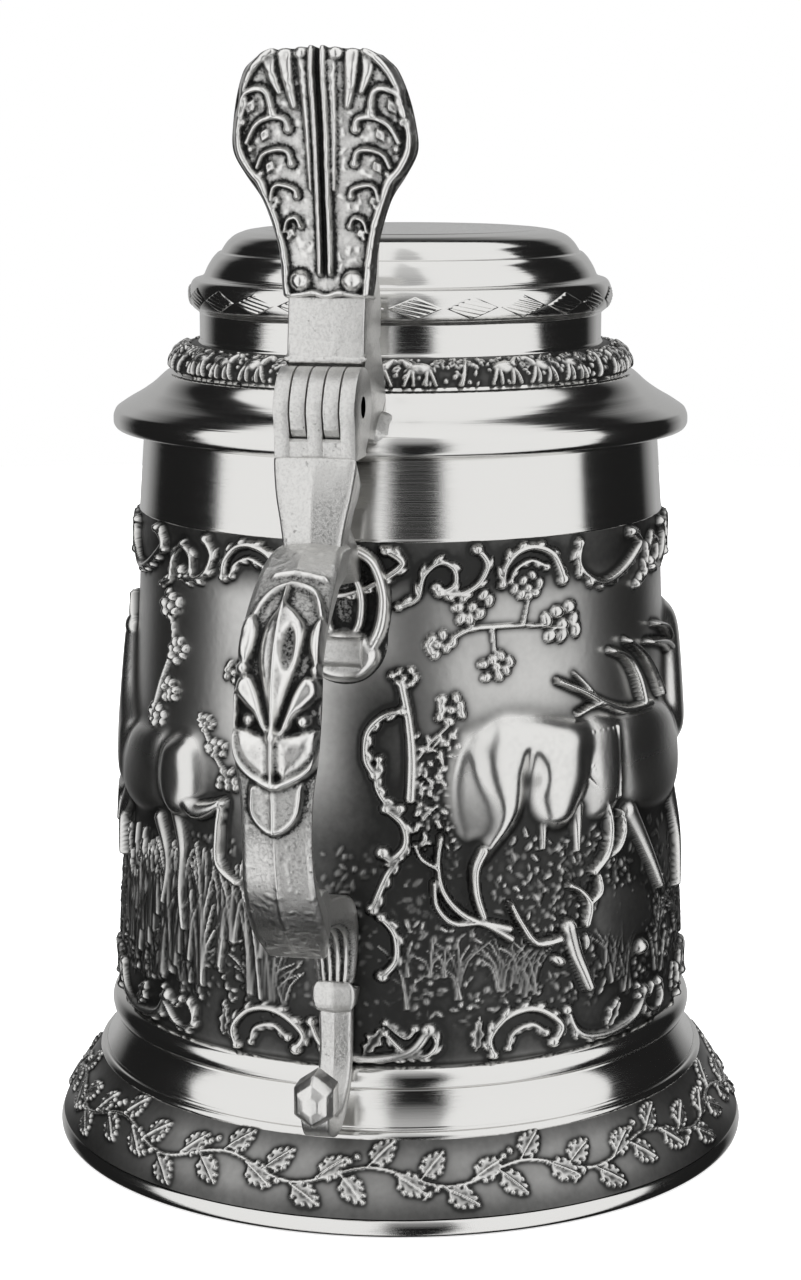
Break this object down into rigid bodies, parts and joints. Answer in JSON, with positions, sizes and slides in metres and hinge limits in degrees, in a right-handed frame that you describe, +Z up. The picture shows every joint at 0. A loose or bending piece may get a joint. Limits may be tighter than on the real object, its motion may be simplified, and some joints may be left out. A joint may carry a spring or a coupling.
{
  "type": "lidded tankard",
  "caption": "Lidded drinking tankard with a flared foot, relief-decorated barrel, cast scroll handle and a hinged, stepped lid with a leaf thumb lift.",
  "frame": {"origin": "centre of the foot's resting face, on the body's axis", "axes": "+Z up along the body's axis, +X towards the handle, +Y along the hinge pin; the lid is closed at rest"},
  "size_m": [0.1502, 0.1156, 0.1789],
  "materials": {
    "turned_pewter": "turned and satin-polished pewter with fine circumferential lines",
    "antiqued_pewter": "antique pewter: recesses blackened, high points rubbed bright",
    "cast_pewter": "cast pewter, rubbed bright with small pits and dark hollows",
    "hinge_pin": "plain drawn pin, ends dressed flush"
  },
  "bodies": {
    "body": {"cup_wall": "turned_pewter", "base_plate": "turned_pewter", "foot_skirt": "turned_pewter", "foot_frieze": "antiqued_pewter", "foot_bead": "turned_pewter", "waist_cove": "turned_pewter", "waist_ring": "turned_pewter", "relief_wall": "antiqued_pewter", "scroll_border_upper": "antiqued_pewter", "scroll_border_lower": "antiqued_pewter", "scroll_divider": "antiqued_pewter", "lip_band": "turned_pewter", "handle_knuckles": "cast_pewter", "hinge_pin": "hinge_pin", "handle_shank": "cast_pewter", "handle_strap": "cast_pewter", "handle_leaf": "cast_pewter", "handle_brows": "cast_pewter", "handle_eyes": "cast_pewter", "handle_chin_leaf": "cast_pewter", "handle_tongue_leaf": "cast_pewter", "handle_end_scroll": "cast_pewter", "bracket_plate": "cast_pewter", "bracket_arm": "cast_pewter", "bracket_scroll": "cast_pewter", "strut_leaf": "cast_pewter", "strut_collar": "cast_pewter", "strut_bar": "cast_pewter", "tail_scroll": "cast_pewter", "tail_boss": "cast_pewter"},
    "lid": {"lid_shell": "turned_pewter", "lid_frieze_ring": "antiqued_pewter", "lid_lozenge_ring": "turned_pewter", "lid_locating_ring": "turned_pewter", "lid_tang": "cast_pewter", "solder_fillet": "cast_pewter", "lid_knuckles": "cast_pewter", "lug_block": "cast_pewter", "thumb_plate": "cast_pewter", "thumb_rib": "cast_pewter", "thumb_volutes": "cast_pewter", "thumb_beads": "cast_pewter", "thumb_bosses": "cast_pewter"}
  },
  "joints": [
    {"name": "lid_hinge", "type": "hinge", "parent": "body", "child": "lid", "pos_m": [0.0574, 0, 0.127], "axis": [0, 1, 0], "range_deg": [0, 110]}
  ]
}
